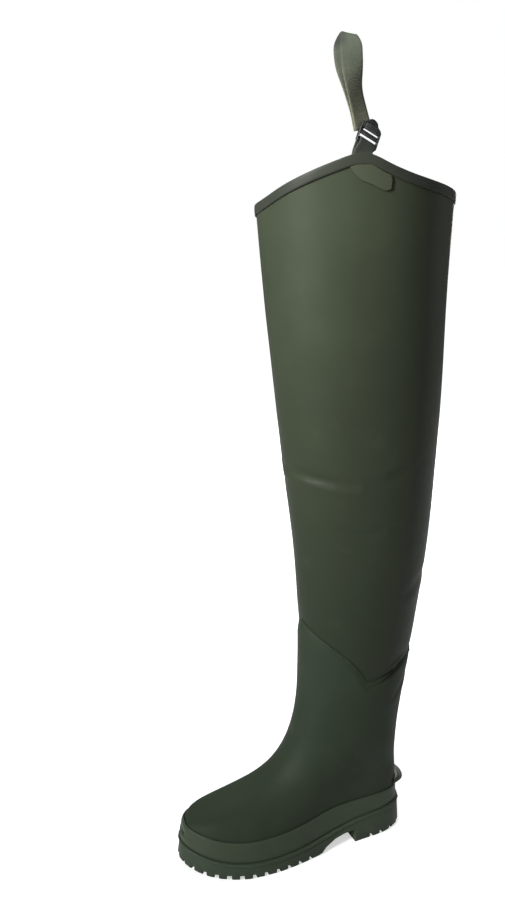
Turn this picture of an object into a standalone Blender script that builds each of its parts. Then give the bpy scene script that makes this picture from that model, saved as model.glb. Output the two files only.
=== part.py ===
"""Hip wader, left boot: a moulded rubber boot with a thin thigh-high leg.

Frame: metres, +Z up, toe towards -Y, outer side of the foot towards +X. The origin is on the
floor under the middle of the heel. Lengths along the foot are counted as "reach", the distance
forward of the sole's heel end. Around every section runs one angle, the "turn": 0 at the heel
end, a quarter turn on the outer side, half a turn at the toe, three quarters on the inner side.
"""
import bisect
import functools
import math

import bmesh
import bpy
import numpy as np
from mathutils import Vector

MM = 0.001

# Driving dimensions
SOLE_LENGTH = 312 * MM
HEEL_SEAT_LENGTH = 40 * MM
HEEL_BREAST_REACH = 83 * MM
ARCH_END_REACH = 141 * MM
TREAD_DEPTH = 6.0 * MM
LUG_WIDTH = 10 * MM
LUG_GAP = 6 * MM
LUG_LENGTH = 18 * MM
LUG_EDGE_INSET = 2 * MM
LUG_FREE_BEFORE_BREAST = 9 * MM
LUG_FREE_PAST_ARCH = 6 * MM
CROSS_GROOVE_WIDTH = 5 * MM
CROSS_GROOVE_DEPTH = 4.5 * MM
CUTTER_OVERRUN = 8 * MM
ARCH_CUTTER_HALF_WIDTH = 80 * MM
FEATHER_INSET = 5.5 * MM
UPPER_WALL = 2.5 * MM
LEG_WALL = 1.4 * MM
CLEARANCE = 0.3 * MM
TUCK_DEPTH = 22 * MM
BINDING_HEIGHT = 9.5 * MM
BINDING_THICKNESS = 1.5 * MM
WEBBING_WIDTH = 22 * MM
WEBBING_THICKNESS = 1.4 * MM
INSOLE_THICKNESS = 4 * MM
INSOLE_SIDE_GAP = 1.2 * MM
LEG_INSET = 0.3 * MM
TUCK_SLACK = 0.2 * MM
TUCK_EASE_START = 2 * MM
TUCK_EASE_LENGTH = 12 * MM
BINDING_SHOULDER = 0.8 * MM
BINDING_TOP = 1.9 * MM
PATCH_THICKNESS = 1.2 * MM
BACK_SEAM_HALF_WIDTH = 7 * MM
BACK_SEAM_FOOT = 96 * MM
BACK_SEAM_THICKNESS = 1.0 * MM
BACK_RADIUS = 60 * MM

# Divisions around a section, and turns of the named places
AROUND = 44
HEEL_TURN = 0.0
TOE_TURN = math.pi
INNER_TURN = 1.5 * math.pi
PEAK_TURN = math.radians(109.5)

# Sole outline: reach, half width outward, half width inward, all in millimetres
SOLE_OUTLINE = (
    (0, 0, 0),
    (6, 25, 25),
    (20, 37, 37),
    (45, 43.5, 41.5),
    (80, 44.5, 39.5),
    (120, 46.5, 38),
    (160, 53, 43),
    (200, 57.5, 50.5),
    (235, 56.5, 54),
    (265, 49, 51),
    (290, 36, 41),
    (305, 20, 25),
    (312, 0, 0),
)
TOE_SHIFT = -7 * MM

# Side profiles of the sole: reach and height, in millimetres
LIP_HEIGHT = (
    (0, 38), (60, 36), (85, 33.5), (110, 28.5), (150, 22), (200, 19.5), (250, 22), (280, 27),
    (312, 36),
)
TREAD_HEIGHT = ((0, 0), (212, 0), (250, 1), (285, 4), (312, 9))
ARCH_HEIGHT = ((83, 19), (100, 18.5), (115, 15), (128, 9), (141, -2))
FOXING_HEIGHT = (
    (0, 18), (25, 25), (55, 27), (80, 29), (100, 32), (125, 36), (150, 34), (185, 31), (250, 27),
    (312, 26),
)

# Edge of the sole, from its upper face down to the side: inset, height above the lip, millimetres
SOLE_EDGE = (
    (7.0, 0.0), (2.0, 0.0), (0.7, -0.7), (0.0, -2.2), (0.4, -4.2), (1.6, -5.6), (1.2, -7.2),
)
SIDE_FLARE = 0.6 * MM
SIDE_FOOT_RISE = 3.0 * MM
TREAD_ROUNDING = 1.2 * MM

# Section of the foxing: share of its height, share of its thickness, gap to the upper in clearances
FOXING_SECTION = (
    (0.0, 0.0, 1.0), (0.0, 1.0, 0.0), (0.42, 1.0, 0.0), (0.5, 0.72, 0.0), (0.86, 0.72, 0.0),
    (0.97, 0.5, 0.0), (1.0, 0.0, 2.6), (0.75, 0.0, 2.6), (0.5, 0.0, 2.6), (0.25, 0.0, 2.0),
)
FOXING_THICKNESS = 2.7 * MM
FOXING_TOE_EXTRA = 1.1 * MM
FOXING_TOE_FROM = 0.55

# Section of the kick spur: share of its reach outward and share of its height
KICK_SPUR_SECTION = (
    (0.0, 0.0), (0.4, 0.05), (1.0, 0.48), (0.8, 0.62), (0.5, 0.74), (0.35, 1.0), (0.0, 1.0),
)
KICK_SPUR_REACH = 13.5 * MM
KICK_SPUR_HEIGHT = 12 * MM
KICK_SPUR_STATIONS = 3
KICK_SPUR_LOWEST_SHARE = 0.15

# Grooves across the tread: reach and half length, in millimetres
CROSS_GROOVES = (
    (24, 9), (60, 20), (158, 22), (176, 22), (194, 24), (214, 24), (234, 24), (254, 22),
)

# Rings of the moulded foot, heel sole to ankle, in millimetres: front reach, front height, back
# reach, back height, share of the sole's own sag, share of the foot's section over the leg's oval
FOOT_RINGS = (
    (306.5, 36, 5.5, 38, 1.00, 1.00),
    (307.0, 46, 5.0, 48, 1.00, 1.00),
    (306.0, 57, 4.8, 57, 0.97, 1.00),
    (302.0, 66, 4.8, 65, 0.90, 1.00),
    (292.0, 74, 5.0, 72, 0.80, 1.00),
    (275.0, 81, 5.2, 78, 0.65, 1.00),
    (252.0, 87, 5.6, 84, 0.50, 1.00),
    (226.0, 92.5, 6.2, 91, 0.35, 0.95),
    (202.0, 99, 6.8, 99, 0.20, 0.82),
    (183.0, 110, 7.0, 109, 0.10, 0.62),
    (169.0, 127, 6.5, 122, 0.00, 0.40),
    (160.5, 147, 5.5, 139, 0.00, 0.20),
    (154.0, 166, 4.0, 159, 0.00, 0.05),
    (150.0, 185, 1.0, 182, 0.00, 0.00),
)
RIDGE_ABOVE_ANKLE = ((147, 260), (143, 400))
RING_RISE = 10 * MM
SECTION_SQUARENESS = 2.4
BROADEST_ABOVE_LIP = 10 * MM

# Leg sections: height, middle's reach and girth by tape, in millimetres
LEG_SECTIONS = (
    (110, 88, 435),
    (170, 76, 400),
    (240, 70, 420),
    (310, 65, 450),
    (400, 63, 500),
    (500, 68, 555),
    (600, 73, 600),
    (720, 81, 640),
    (880, 87, 700),
)

# Roundness of the leg: height in millimetres, and half width as a share of half depth
LEG_ROUNDNESS = ((110, 0.67), (150, 0.71), (300, 0.74), (800, 0.80))

# Top line of the moulded boot, the same on both sides: turn in degrees, height in millimetres
BOOT_TOP_LINE = ((0, 263), (60, 252), (95, 238), (110, 262), (135, 288), (180, 315))

# Rim of the collar: turn in degrees and height in millimetres
COLLAR_RIM = (
    (0, 825), (45, 835), (80, 846), (95, 855), (109.5, 867.5), (125, 858), (150, 840), (180, 821),
    (225, 814), (270, 813), (315, 817), (360, 825),
)

# Buckle at the collar's peak, in millimetres: seat along, outward and above the rim, the plate, the
# tab's half width, rise and foot, and the slots' lower and upper edges
BUCKLE_SEAT = (1.3, -6.1, 8.0)
BUCKLE_SWING = math.radians(24)
BUCKLE_LEAN = math.radians(22)
BUCKLE_HALF_WIDTH = 13.6
BUCKLE_HALF_THICKNESS = 1.8
BUCKLE_SHOULDER = 17.5
BUCKLE_TOP = 20.0
BUCKLE_CORNER = 2.0
BUCKLE_TAB = (7.5, 6.0, 21.0)
BUCKLE_SLOT_HALF_WIDTH = 11.9
BUCKLE_SLOTS = ((2.4, 9.2), (11.0, 14.6))
BUCKLE_BAR_MIDDLE = 1.2
BAR_BEND = 3.5
HANGER_ALONG = -2.0
HANGER_OUT = -6.1
HANGER_LAYER_GAP = 1.9
HANGER_HEIGHTS = (-40, -24, -9, 1)

# Patches: middle turn, width, drop and lean of the tip towards the toe
OUTER_PATCH = (PEAK_TURN - 0.05, 44 * MM, 19 * MM, 7 * MM)
INNER_PATCH = (INNER_TURN, 46 * MM, 28 * MM, 0.0)

# Belt loop above the buckle, in millimetres: height, middle's place along and outward, half gap
# between its two layers, and swing and sideways tilt of the webbing in degrees
STRAP_SECTIONS = (
    (16, -1, -4.2, 1.0, 0, 0),
    (34, -7, -4.8, 1.4, 8, 0),
    (50, -14, -4.6, 2.4, 10, 0),
    (64, -18, -4.2, 3.8, -5, 0),
    (80, -22, -3.6, 5.4, -35, 2),
    (94, -24, -3.0, 5.8, -42, 6),
    (103, -25, -2.5, 2.8, -44, 10),
)
STRAP_ROWS = 9

# Colours (linear), roughness
OLIVE_RUBBER = ((0.047, 0.058, 0.036), 0.55)
SOLE_RUBBER = ((0.040, 0.055, 0.036), 0.62)
LEG_COATING = ((0.055, 0.064, 0.042), 0.50)
BINDING_RUBBER = ((0.062, 0.070, 0.048), 0.55)
OLIVE_WEBBING = ((0.105, 0.105, 0.072), 0.85)
BLACK_NYLON = ((0.012, 0.013, 0.014), 0.38)
GREY_FELT = ((0.10, 0.10, 0.10), 0.95)


@functools.lru_cache(maxsize=None)
def knots(table, column):
    """Places, values and slopes of the smooth curve through a table's rows."""
    xs = [float(row[0]) for row in table]
    ys = [float(row[column]) for row in table]
    steps = [after - before for before, after in zip(xs, xs[1:])]
    slopes = [(ys[i + 1] - ys[i]) / steps[i] for i in range(len(steps))]
    tangents = [slopes[0]] + [0.0] * (len(xs) - 2) + [slopes[-1]]
    for i in range(1, len(xs) - 1):
        if slopes[i - 1] * slopes[i] > 0:
            before = 2 * steps[i] + steps[i - 1]
            after = steps[i] + 2 * steps[i - 1]
            tangents[i] = (before + after) / (before / slopes[i - 1] + after / slopes[i])
    return xs, ys, tangents


def smooth_through(table, x, column=1):
    """Value at x of the smooth curve, without overshoot, through a table's rows."""
    xs, ys, tangents = knots(table, column)
    x = min(max(x, xs[0]), xs[-1])
    i = min(max(bisect.bisect_left(xs, x) - 1, 0), len(xs) - 2)
    step = xs[i + 1] - xs[i]
    t = (x - xs[i]) / step
    return (
        (1 + 2 * t) * (1 - t) ** 2 * ys[i]
        + t * (1 - t) ** 2 * step * tangents[i]
        + t * t * (3 - 2 * t) * ys[i + 1]
        + t * t * (t - 1) * step * tangents[i + 1]
    )


def millimetres(table, x, column=1):
    """Value in metres, at x in metres, of a table in millimetres."""
    return smooth_through(table, x / MM, column) * MM


def place(x, reach, z):
    """World point of an across, reach and height triple."""
    return Vector((x, HEEL_SEAT_LENGTH - reach, z))


def centre_shift(reach):
    """How far the foot's centre line bends inward on its way to the toe."""
    return TOE_SHIFT * max(0.0, min(1.0, reach / SOLE_LENGTH)) ** 4


# The outline's half widths against the angle, which a round end turns into straight lines
OUTLINE_BY_ANGLE = tuple(
    (math.acos(1 - 2 * reach / SOLE_OUTLINE[-1][0]), outward, inward)
    for reach, outward, inward in SOLE_OUTLINE
)


def outline_half_width(turn, inset=0.0):
    """Half width of the sole outline at a turn, with an inset that fades at both ends."""
    angle = turn if turn <= math.pi else 2 * math.pi - turn
    column = 1 if turn <= math.pi else 2
    half = smooth_through(OUTLINE_BY_ANGLE, angle, column) * MM
    return max(0.0, half - inset * math.sin(angle) ** 0.5)


def outline_point(turn, inset, height):
    """Point of the sole outline, moved inward by inset, at a height given by its reach."""
    share = (1 - math.cos(turn)) / 2
    reach = inset + (SOLE_LENGTH - 2 * inset) * share
    side = 1 if turn <= math.pi else -1
    x = centre_shift(reach) + side * outline_half_width(turn, inset)
    return place(x, reach, height(reach))


def outline_ring(inset, height, around=AROUND):
    """Closed ring of outline points."""
    return [outline_point(2 * math.pi * i / around, inset, height) for i in range(around)]


def lip_height(reach):
    """Height of the sole's lip, where sole and foxing meet."""
    return millimetres(LIP_HEIGHT, reach)


def tread_height(reach):
    """Height of the ground side, with the toe spring."""
    return millimetres(TREAD_HEIGHT, reach)


RIDGE = tuple(sorted([(row[0], row[1]) for row in FOOT_RINGS[1:]] + list(RIDGE_ABOVE_ANKLE)))
RING_COLUMNS = [tuple((i, row[c]) for i, row in enumerate(FOOT_RINGS)) for c in range(6)]


def foot_half_width(turn, reach, height):
    """Half width of the foot's cross-section at a reach and a height above the lip."""
    base = outline_half_width(turn, FEATHER_INSET)
    broadest = lip_height(reach) + BROADEST_ABOVE_LIP
    ridge = millimetres(RIDGE, reach)
    if height <= broadest or ridge <= broadest:
        return base
    rise = min(1.0, (height - broadest) / (ridge - broadest))
    return base * (1 - rise ** SECTION_SQUARENESS) ** (1 / SECTION_SQUARENESS)


def foot_turn(reach, turn, back_reach, front_reach):
    """Turn on the sole outline that lies below a point of a shorter ring."""
    start = FEATHER_INSET
    fade = (reach - back_reach) / (front_reach - back_reach)
    past_tip = max(0.0, front_reach - (SOLE_LENGTH - start))
    on_outline = reach - (back_reach - start) * (1 - fade) - past_tip * fade
    share = (on_outline - start) / (SOLE_LENGTH - 2 * start)
    angle = math.acos(max(-1.0, min(1.0, 1 - 2 * share)))
    return angle if turn <= math.pi else 2 * math.pi - angle


def foot_point(turn, level):
    """Outer point of the moulded foot at a turn and a level counted in rings."""
    front_reach, front_height, back_reach, back_height, sag_share, foot_share = (
        smooth_through(column, level) for column in RING_COLUMNS
    )
    front_reach, back_reach = front_reach * MM, back_reach * MM
    share = (1 - math.cos(turn)) / 2
    side = 1 if turn <= math.pi else -1
    reach = back_reach + (front_reach - back_reach) * share
    heel_lip, toe_lip = LIP_HEIGHT[0][1] * MM, LIP_HEIGHT[-1][1] * MM
    chord = heel_lip + (toe_lip - heel_lip) * share
    height = (back_height + (front_height - back_height) * share) * MM
    height += sag_share * (lip_height(reach) - chord)
    _, _, leg_half_width = leg_oval(height)
    oval = leg_half_width * abs(math.sin(turn))
    foot = foot_half_width(foot_turn(reach, turn, back_reach, front_reach), reach, height)
    half = foot_share * foot + (1 - foot_share) * oval
    return place(foot_share * centre_shift(reach) + side * half, reach, height)


@functools.lru_cache(maxsize=None)
def leg_oval(height):
    """Middle's reach, half depth and half width of the leg's oval, from its girth."""
    middle = millimetres(LEG_SECTIONS, height, 1)
    girth = millimetres(LEG_SECTIONS, height, 2)
    roundness = smooth_through(LEG_ROUNDNESS, height / MM)
    mean = math.sqrt((3 + roundness) * (1 + 3 * roundness))
    depth = girth / (math.pi * (3 * (1 + roundness) - mean))
    return middle, depth, depth * roundness


def leg_point(turn, height, offset=0.0):
    """Outer point of the leg's oval at a turn and height, moved outward by offset."""
    middle, depth, width = leg_oval(height)
    x, y = width * math.sin(turn), depth * math.cos(turn)
    out = Vector((x / width ** 2, y / depth ** 2))
    out.normalize()
    return place(x + offset * out.x, middle - y - offset * out.y, height)


def leg_outward(turn, height):
    """Level outward direction of the leg's oval."""
    step = leg_point(turn, height, 1 * MM) - leg_point(turn, height, 0.0)
    return step.normalized()


def boot_top(turn):
    """Height of the moulded boot's top line."""
    from_heel = min(turn, 2 * math.pi - turn)
    return smooth_through(BOOT_TOP_LINE, math.degrees(from_heel)) * MM


def collar_rim(turn):
    """Height of the collar's rim."""
    return smooth_through(COLLAR_RIM, math.degrees(turn)) * MM


def station_rim(turn):
    """Height of the rim as the band's straight pieces between stations have it."""
    step = 2 * math.pi / AROUND
    before = math.floor(turn / step) * step
    share = (turn - before) / step
    return collar_rim(before) * (1 - share) + collar_rim(before + step) * share


def make_material(name, colour_and_roughness):
    """Plain Principled material."""
    colour, roughness = colour_and_roughness
    material = bpy.data.materials.new(name)
    material.use_nodes = True
    shader = material.node_tree.nodes["Principled BSDF"]
    shader.inputs["Base Color"].default_value = (*colour, 1.0)
    shader.inputs["Roughness"].default_value = roughness
    shader.inputs["Metallic"].default_value = 0.0
    return material


def new_object(name, mesh, collection, material=None):
    """Object of a mesh, in a collection."""
    piece = bpy.data.objects.new(name, mesh)
    collection.objects.link(piece)
    if material:
        mesh.materials.append(material)
    return piece


def finish_mesh(name, builder):
    """Mesh of a bmesh, with its faces turned outward and shaded smooth."""
    bmesh.ops.recalc_face_normals(builder, faces=builder.faces)
    mesh = bpy.data.meshes.new(name)
    builder.to_mesh(mesh)
    builder.free()
    mesh.shade_smooth()
    mesh.set_sharp_from_angle(angle=math.radians(35))
    return mesh


def loft_mesh(name, rings, closed_rings=True, joined_ends=False, capped=False):
    """Mesh through rings of equally many points.

    With joined_ends the last ring meets the first, as in a band; with capped each end is closed
    by strips between the points that face each other across the ring.
    """
    builder = bmesh.new()
    rows = [[builder.verts.new(point) for point in ring] for ring in rings]
    pairs = list(zip(rows, rows[1:]))
    if joined_ends:
        pairs.append((rows[-1], rows[0]))
    count = len(rows[0])
    last = count if closed_rings else count - 1
    for lower, upper in pairs:
        for i in range(last):
            j = (i + 1) % count
            builder.faces.new((lower[i], lower[j], upper[j], upper[i]))
    if capped:
        for row in (rows[0], rows[-1]):
            builder.faces.new((row[0], row[1], row[-1]))
            for i in range(1, count // 2 - 1):
                builder.faces.new((row[i], row[i + 1], row[-i - 1], row[-i]))
            half = count // 2
            builder.faces.new((row[half - 1], row[half], row[half + 1]))
    return finish_mesh(name, builder)


def prism_mesh(name, prisms):
    """Mesh of prisms, each given by its two end outlines."""
    builder = bmesh.new()
    for near_points, far_points in prisms:
        near = [builder.verts.new(point) for point in near_points]
        far = [builder.verts.new(point) for point in far_points]
        builder.faces.new(near)
        builder.faces.new(list(reversed(far)))
        for i in range(len(near)):
            j = (i + 1) % len(near)
            builder.faces.new((near[i], near[j], far[j], far[i]))
    return finish_mesh(name, builder)


def thicken(piece, thickness, offset):
    """Solidify modifier on an open surface."""
    shell = piece.modifiers.new("Wall", "SOLIDIFY")
    shell.thickness = thickness
    shell.offset = offset
    shell.use_even_offset = True
    shell.use_quality_normals = True
    return shell


def turns(around=AROUND):
    """Evenly spaced turns of a ring."""
    return [2 * math.pi * i / around for i in range(around)]


def build_tread_cutters(collection):
    """Boxes that part the edge lugs, the channel inside them and the hollow of the arch."""
    builder = bmesh.new()

    def box(centre, size, angle):
        made = bmesh.ops.create_cube(builder, size=1.0)["verts"]
        for vertex in made:
            x, y, z = (vertex.co[k] * size[k] for k in range(3))
            vertex.co = Vector((
                centre.x + x * math.cos(angle) - y * math.sin(angle),
                centre.y + x * math.sin(angle) + y * math.cos(angle),
                centre.z + z,
            ))

    pitch = LUG_WIDTH + LUG_GAP
    fine = [2 * math.pi * i / 720 for i in range(721)]
    points = [outline_point(turn, LUG_EDGE_INSET, tread_height) for turn in fine]
    travelled = 0.0
    for before, after in zip(points, points[1:]):
        travelled += (after - before).xy.length
        if travelled < pitch:
            continue
        travelled -= pitch
        reach = HEEL_SEAT_LENGTH - after.y
        free_from = HEEL_BREAST_REACH - LUG_FREE_BEFORE_BREAST
        if free_from < reach < ARCH_END_REACH + LUG_FREE_PAST_ARCH:
            continue
        along = (after - before).normalized()
        inward = Vector((along.y, -along.x, 0.0))
        if inward.dot(Vector((0, HEEL_SEAT_LENGTH - 0.5 * SOLE_LENGTH, 0)) - after) < 0:
            inward.negate()
        middle = after + inward * 0.5 * (LUG_LENGTH - CUTTER_OVERRUN)
        angle = math.atan2(inward.y, inward.x)
        box(middle, (LUG_LENGTH + CUTTER_OVERRUN, LUG_GAP, 2 * TREAD_DEPTH), angle)

    for reach, half_length in CROSS_GROOVES:
        reach, length = reach * MM, 2 * half_length * MM
        centre = place(centre_shift(reach), reach, tread_height(reach))
        box(centre, (length, CROSS_GROOVE_WIDTH, 2 * CROSS_GROOVE_DEPTH), 0.0)
    tread = new_object("tread_cutter", finish_mesh("tread_cutter", builder), collection)

    profile = [(HEEL_BREAST_REACH, -CUTTER_OVERRUN)]
    profile += [(reach * MM, height * MM) for reach, height in ARCH_HEIGHT]
    profile += [(ARCH_END_REACH, -CUTTER_OVERRUN)]
    ends = (-ARCH_CUTTER_HALF_WIDTH, ARCH_CUTTER_HALF_WIDTH)
    sides = [[place(x, reach, z) for reach, z in profile] for x in ends]
    arch = new_object("arch_cutter", prism_mesh("arch_cutter", [sides]), collection)
    for cutter in (tread, arch):
        cutter.hide_render = True
        cutter.display_type = "WIRE"
    return arch, tread


def build_outsole(collection, cutters, material):
    """Sole, heel and lugs, one moulding with a rounded lip and a groove below it."""
    rings = [
        outline_ring(inset * MM, lambda reach, drop=drop: lip_height(reach) + drop * MM)
        for inset, drop in SOLE_EDGE
    ]
    rings.append(outline_ring(-SIDE_FLARE, lambda reach: tread_height(reach) + SIDE_FOOT_RISE))
    rings.append(outline_ring(TREAD_ROUNDING, tread_height))
    mesh = loft_mesh("outsole", rings, capped=True)
    outsole = new_object("outsole", mesh, collection, material)
    arch, tread = cutters
    for cutter in (arch, tread):
        cut = outsole.modifiers.new(cutter.name, "BOOLEAN")
        cut.operation = "DIFFERENCE"
        cut.object = cutter
        cut.use_self = cutter is tread
    return outsole


ANKLE_LEVEL = len(FOOT_RINGS) - 1
UPPER_LEG_ROWS = 4
EDGE_SWELL = 0.8 * MM


def upper_ring(level):
    """Outer ring of the upper: foot rings first, then rows up to the top line."""
    lift = 2 * CLEARANCE
    if level <= ANKLE_LEVEL:
        rise = Vector((0, 0, lift * max(0.0, 1 - level)))
        return [foot_point(turn, level) + rise for turn in turns()]
    share = (level - ANKLE_LEVEL) / UPPER_LEG_ROWS
    ring = []
    for turn in turns():
        start = foot_point(turn, ANKLE_LEVEL).z
        height = start + (boot_top(turn) - start) * share
        ring.append(leg_point(turn, height, EDGE_SWELL * share))
    return ring


def build_upper(collection, material):
    """Moulded boot, one hollow wall, open at the top line and underneath at the sole."""
    levels = range(ANKLE_LEVEL + UPPER_LEG_ROWS + 1)
    mesh = loft_mesh("boot_upper", [upper_ring(level) for level in levels])
    upper = new_object("boot_upper", mesh, collection, material)
    thicken(upper, UPPER_WALL, -1.0)
    return upper


def upper_outward(turn, level):
    """Outward direction of the foot's surface."""
    step = 0.02
    around = foot_point(min(turn + step, 2 * math.pi), level) - foot_point(max(turn - step, 0), level)
    rise = foot_point(turn, level + step) - foot_point(turn, max(level - step, 0))
    out = around.cross(rise)
    if turn in (HEEL_TURN, TOE_TURN):
        out.x = 0.0
    middle = place(0, 0.5 * SOLE_LENGTH, 0)
    at = foot_point(turn, level)
    if out.dot(Vector((at.x, 0.3 * (at.y - middle.y), 0))) < 0:
        out.negate()
    return out.normalized()


def foxing_point(turn, rise_share, offset):
    """Point outside the upper, at a share of the foxing's height and an offset off the wall."""
    reach = HEEL_SEAT_LENGTH - foot_point(turn, 0).y
    height = millimetres(FOXING_HEIGHT, reach)
    level = rise_share * height / RING_RISE
    point = foot_point(turn, level) + upper_outward(turn, level) * offset
    if rise_share == 0.0:
        point.z = lip_height(HEEL_SEAT_LENGTH - point.y) + 2 * CLEARANCE
    return point


def build_foxing(collection, material):
    """Band round the foot on the sole's lip, thicker over the toe, stepped on its side."""
    def thickness(turn):
        toe = max(0.0, -math.cos(turn) - FOXING_TOE_FROM) / (1 - FOXING_TOE_FROM)
        return FOXING_THICKNESS + FOXING_TOE_EXTRA * min(1.0, toe)

    rings = []
    for rise_share, thick_share, clearances in FOXING_SECTION:
        gap = clearances * CLEARANCE
        rings.append([
            foxing_point(turn, rise_share, gap + thick_share * thickness(turn)) for turn in turns()
        ])
    mesh = loft_mesh("foxing", rings, joined_ends=True)
    return new_object("foxing", mesh, collection, material)


def build_kick_spur(collection, material):
    """Two-step ledge across the back of the heel, for prising the boot off."""
    rings = []
    for step in range(-KICK_SPUR_STATIONS, KICK_SPUR_STATIONS + 1):
        across = abs(step) / KICK_SPUR_STATIONS
        turn = (step * 2 * math.pi / AROUND) % (2 * math.pi)
        fade = max(KICK_SPUR_LOWEST_SHARE, 1 - across ** 3)
        low = millimetres(FOXING_HEIGHT, HEEL_SEAT_LENGTH - foot_point(turn, 0).y) + 1 * MM
        tall = KICK_SPUR_HEIGHT * (0.7 + 0.3 * fade)
        ring = []
        for out_share, rise_share in KICK_SPUR_SECTION:
            level = (low + rise_share * tall) / RING_RISE
            out = upper_outward(turn, level)
            out.z = 0.0
            out.normalize()
            offset = 2 * CLEARANCE + out_share * KICK_SPUR_REACH * fade
            ring.append(foot_point(turn, level) + out * offset)
        rings.append(ring)
    builder = bmesh.new()
    rows = [[builder.verts.new(point) for point in ring] for ring in rings]
    for left, right in zip(rows, rows[1:]):
        for i in range(len(left)):
            j = (i + 1) % len(left)
            builder.faces.new((left[i], left[j], right[j], right[i]))
    builder.faces.new(rows[0])
    builder.faces.new(rows[-1])
    return new_object("kick_spur", finish_mesh("kick_spur", builder), collection, material)


def build_insole(collection, material):
    """Foot board that lies on the sole inside the upper."""
    inset = FEATHER_INSET + UPPER_WALL + INSOLE_SIDE_GAP
    low = outline_ring(inset, lambda reach: lip_height(reach) + CLEARANCE)
    high = outline_ring(inset, lambda reach: lip_height(reach) + CLEARANCE + INSOLE_THICKNESS)
    mesh = loft_mesh("insole", [low, high], capped=True)
    return new_object("insole", mesh, collection, material)


LEG_ROWS = 11


def leg_inset(turn, height):
    """How far the thin leg lies inside the leg's oval: most where the boot covers it."""
    tucked = UPPER_WALL + CLEARANCE - EDGE_SWELL + TUCK_SLACK
    above = (height - boot_top(turn) - TUCK_EASE_START) / TUCK_EASE_LENGTH
    return tucked + (LEG_INSET - tucked) * max(0.0, min(1.0, above))


def build_leg(collection, material):
    """Thin coated leg from inside the boot's top line up to the collar."""
    shares = [0.0, 0.035, 0.055] + [0.08 + 0.92 * (i / LEG_ROWS) for i in range(LEG_ROWS + 1)]
    rings = []
    for share in shares:
        ring = []
        for turn in turns():
            low = boot_top(turn) - TUCK_DEPTH
            height = low + (collar_rim(turn) - low) * share
            ring.append(leg_point(turn, height, -leg_inset(turn, height)))
        rings.append(ring)
    leg = new_object("thigh_leg", loft_mesh("thigh_leg", rings), collection, material)
    thicken(leg, LEG_WALL, -1.0)
    return leg


def build_binding(collection, material):
    """Rubber tape folded over the collar's rim, with the leg's wall in its slot."""
    slot_out = -LEG_INSET + CLEARANCE
    slot_in = -LEG_INSET - LEG_WALL - CLEARANCE
    out, inside = slot_out + BINDING_THICKNESS, slot_in - BINDING_THICKNESS
    section = (
        (slot_out, -BINDING_HEIGHT), (out, -BINDING_HEIGHT), (out, BINDING_SHOULDER),
        (0.5 * (out + slot_out), BINDING_TOP), (0.5 * (inside + slot_in), BINDING_TOP),
        (inside, BINDING_SHOULDER), (inside, -BINDING_HEIGHT), (slot_in, -BINDING_HEIGHT),
        (slot_in, CLEARANCE), (slot_out, CLEARANCE),
    )
    rings = []
    for offset, rise in section:
        ring = []
        for turn in turns():
            rim = collar_rim(turn)
            point = leg_point(turn, rim + min(rise, 0.0), offset)
            point.z = rim + rise
            ring.append(point)
        rings.append(ring)
    mesh = loft_mesh("collar_binding", rings, joined_ends=True)
    return new_object("collar_binding", mesh, collection, material)


def build_patch(name, middle_turn, width, drop, lean, collection, material):
    """U-shaped rubber patch on the leg, from under the binding down to its leaning round tip."""
    columns, rows, shortest = 11, 4, 4 * MM
    middle = leg_point(middle_turn, collar_rim(middle_turn))
    per_radian = (leg_point(middle_turn + 0.1, middle.z) - middle).length / 0.1
    grid = []
    for row in range(rows):
        down = row / (rows - 1)
        ring = []
        for column in range(columns):
            across = -1 + 2 * column / (columns - 1)
            depth = shortest + (drop - shortest) * (1 - abs(across) ** 2.4) ** 0.5
            turn = middle_turn + (0.5 * width * across - lean * down * depth / drop) / per_radian
            top = station_rim(turn) - BINDING_HEIGHT - 2 * CLEARANCE
            ring.append(leg_point(turn, top - depth * down, CLEARANCE - LEG_INSET))
        grid.append(ring)
    mesh = loft_mesh(name, grid, closed_rings=False)
    patch = new_object(name, mesh, collection, material)
    thicken(patch, PATCH_THICKNESS, 1.0).use_even_offset = False
    return patch


def build_back_seam(collection, material):
    """Raised strip up the back of the boot, from the kick spur to the top line."""
    rows = 10
    top = boot_top(HEEL_TURN) - 1 * MM
    grid = []
    for row in range(rows):
        height = BACK_SEAM_FOOT + (top - BACK_SEAM_FOOT) * row / (rows - 1)
        across = [BACK_SEAM_HALF_WIDTH * share for share in (-1.0, -0.5, 0.0, 0.5, 1.0)]
        grid.append([back_point(distance, height) for distance in across])
    mesh = loft_mesh("back_seam", grid, closed_rings=False)
    strip = new_object("back_seam", mesh, collection, material)
    thicken(strip, BACK_SEAM_THICKNESS, 1.0)
    return strip


def back_point(across, height):
    """Point just off the upper's back, at a distance across and a height."""
    levels = np.linspace(3, ANKLE_LEVEL, 101)
    side = 1 if across >= 0 else -1
    ankle = foot_point(HEEL_TURN, ANKLE_LEVEL).z

    def at(turn):
        if height >= ankle:
            share = (height - ankle) / (boot_top(HEEL_TURN) - ankle)
            return leg_point(turn % (2 * math.pi), height, EDGE_SWELL * share)
        heights = [foot_point(HEEL_TURN, level).z for level in levels]
        level = float(np.interp(height, heights, levels))
        return foot_point(turn % (2 * math.pi), level)

    turn = 0.0
    while abs(at(side * turn).x) < abs(across) and turn < 1.2:
        turn += 0.01
    point = at(side * turn)
    out = Vector((point.x * 0.9, BACK_RADIUS, 0)).normalized()
    return point + out * 1.6 * CLEARANCE


def webbing_ribbon(name, stations, collection, material):
    """Ribbon of webbing through stations of a middle and a direction across."""
    rings = []
    for middle, across in stations:
        half = across.normalized() * 0.5 * WEBBING_WIDTH
        rings.append([middle - half, middle, middle + half])
    mesh = loft_mesh(name, rings, closed_rings=False)
    ribbon = new_object(name, mesh, collection, material)
    thicken(ribbon, WEBBING_THICKNESS, 0.0)
    return ribbon


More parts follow.
